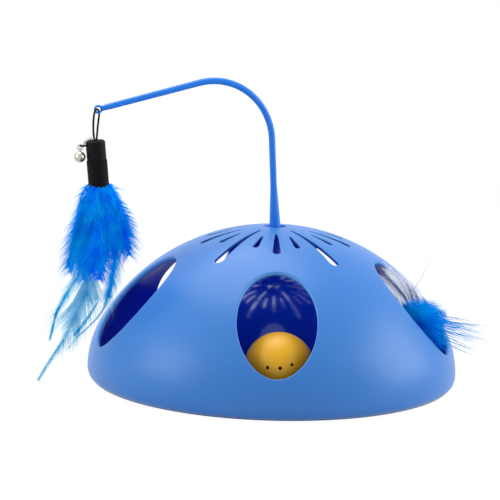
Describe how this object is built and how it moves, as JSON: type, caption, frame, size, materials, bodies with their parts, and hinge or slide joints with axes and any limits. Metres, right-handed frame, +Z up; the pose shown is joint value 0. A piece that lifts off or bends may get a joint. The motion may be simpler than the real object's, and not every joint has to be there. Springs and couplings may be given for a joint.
{
  "type": "automatic cat feather toy",
  "caption": "Battery-driven cat toy: slotted blue dome with paw holes over a ball track, and a spinner that whirls a bent wand with a feather teaser and a side feather.",
  "frame": {"origin": "on the floor under the middle of the dome, at the height of the rubber feet's undersides", "axes": "+Z up along the spin axis, -Y to the front where the ball shows in a paw hole, +X to the right as seen from the front"},
  "size_m": [0.2926, 0.24, 0.1971],
  "materials": {
    "dome_blue": "satin",
    "base_blue": "satin",
    "spinner_blue": "polished",
    "wand_blue": "satin",
    "ball_yellow": "polished",
    "feather_blue": "soft",
    "plume_blue": "soft",
    "black_plastic": "matte",
    "black_rubber": "matte",
    "grey_rubber": "matte",
    "black_cord": "woven",
    "bell_metal": "polished",
    "steel": "satin",
    "cell_jacket": "satin",
    "case_white": "matte",
    "gear_white": "satin",
    "brass": "satin",
    "board_green": "satin"
  },
  "bodies": {
    "base": {"dome_cover": "dome_blue", "base_plate": "base_blue", "battery_door": "base_blue", "battery_door_screw": "steel", "dome_screws": "steel", "case_screws": "steel", "foot_front": "grey_rubber", "foot_right": "grey_rubber", "foot_back_right": "grey_rubber", "foot_back_left": "grey_rubber", "foot_left": "grey_rubber", "aa_cell_left": "cell_jacket", "aa_cell_middle": "cell_jacket", "aa_cell_right": "cell_jacket", "contact_plates": "steel", "contact_springs": "steel", "gear_case": "case_white", "gear_case_lid": "case_white", "lid_screws": "steel", "lower_bush": "brass", "upper_bush": "brass", "gear_pin_one": "steel", "gear_pin_two": "steel", "motor_can": "steel", "motor_end_cap": "case_white", "circuit_board": "board_green", "switch_body": "black_plastic"},
    "spinner": {"spinner_dome": "spinner_blue", "spinner_screw": "steel", "output_gear": "gear_white", "output_shaft": "steel", "side_socket": "spinner_blue", "side_feather_sleeve": "black_plastic", "side_feather": "feather_blue", "wand": "wand_blue"},
    "idler_two": {"idler_gear_two": "gear_white"},
    "idler_one": {"idler_gear_one": "gear_white"},
    "rotor": {"motor_shaft": "steel", "motor_pinion": "brass"},
    "ball": {"ball_upper_half": "ball_yellow", "ball_lower_half": "ball_yellow"},
    "loop": {"teaser_cord": "black_cord", "cord_knot": "black_cord"},
    "teaser": {"teaser_cap": "black_plastic", "teaser_tube": "black_rubber", "teaser_fluff": "feather_blue", "teaser_plumes": "plume_blue"},
    "bell": {"bell_link": "bell_metal", "bell_shell": "bell_metal", "bell_pellet": "bell_metal"},
    "switch": {"switch_knob": "black_plastic"}
  },
  "joints": [
    {"name": "spinner_spin", "type": "hinge", "parent": "base", "child": "spinner", "pos_m": [0, 0, 0.04], "axis": [0, 0, 1], "continuous": true, "deforming": ["side_feather"]},
    {"name": "idler_two_spin", "type": "hinge", "parent": "base", "child": "idler_two", "pos_m": [0.0066, 0.01545, 0.03], "axis": [0, 0, 1], "continuous": true},
    {"name": "idler_one_spin", "type": "hinge", "parent": "base", "child": "idler_one", "pos_m": [0.0234, 0.01545, 0.028], "axis": [0, 0, 1], "continuous": true},
    {"name": "motor_spin", "type": "hinge", "parent": "base", "child": "rotor", "pos_m": [0.03, 0, 0.02], "axis": [0, 0, 1], "continuous": true},
    {"name": "ball_orbit", "type": "hinge", "parent": "base", "child": "ball", "pos_m": [0, 0, 0.0273], "axis": [0, 0, 1], "continuous": true, "deforming": ["side_feather"]},
    {"name": "loop_swing", "type": "hinge", "parent": "spinner", "child": "loop", "pos_m": [-0.11176, -0.04068, 0.17729], "axis": [-0.342, 0.9397, 0], "range_deg": [-4, 70]},
    {"name": "teaser_swing", "type": "hinge", "parent": "loop", "child": "teaser", "pos_m": [-0.11307, -0.04116, 0.15509], "axis": [-0.9397, -0.342, 0], "range_deg": [-30, 30]},
    {"name": "bell_swing", "type": "hinge", "parent": "teaser", "child": "bell", "pos_m": [-0.12236, -0.04454, 0.15444], "axis": [-0.342, 0.9397, 0], "range_deg": [0, 50]},
    {"name": "switch_slide", "type": "slide", "parent": "base", "child": "switch", "axis": [0, 1, 0], "range_m": [0, 0.004]}
  ],
  "couplings": [
    {"joint": "idler_two_spin", "follows": "spinner_spin", "ratio": -3.2},
    {"joint": "idler_one_spin", "follows": "spinner_spin", "ratio": 10.24},
    {"joint": "motor_spin", "follows": "spinner_spin", "ratio": -32.768}
  ]
}
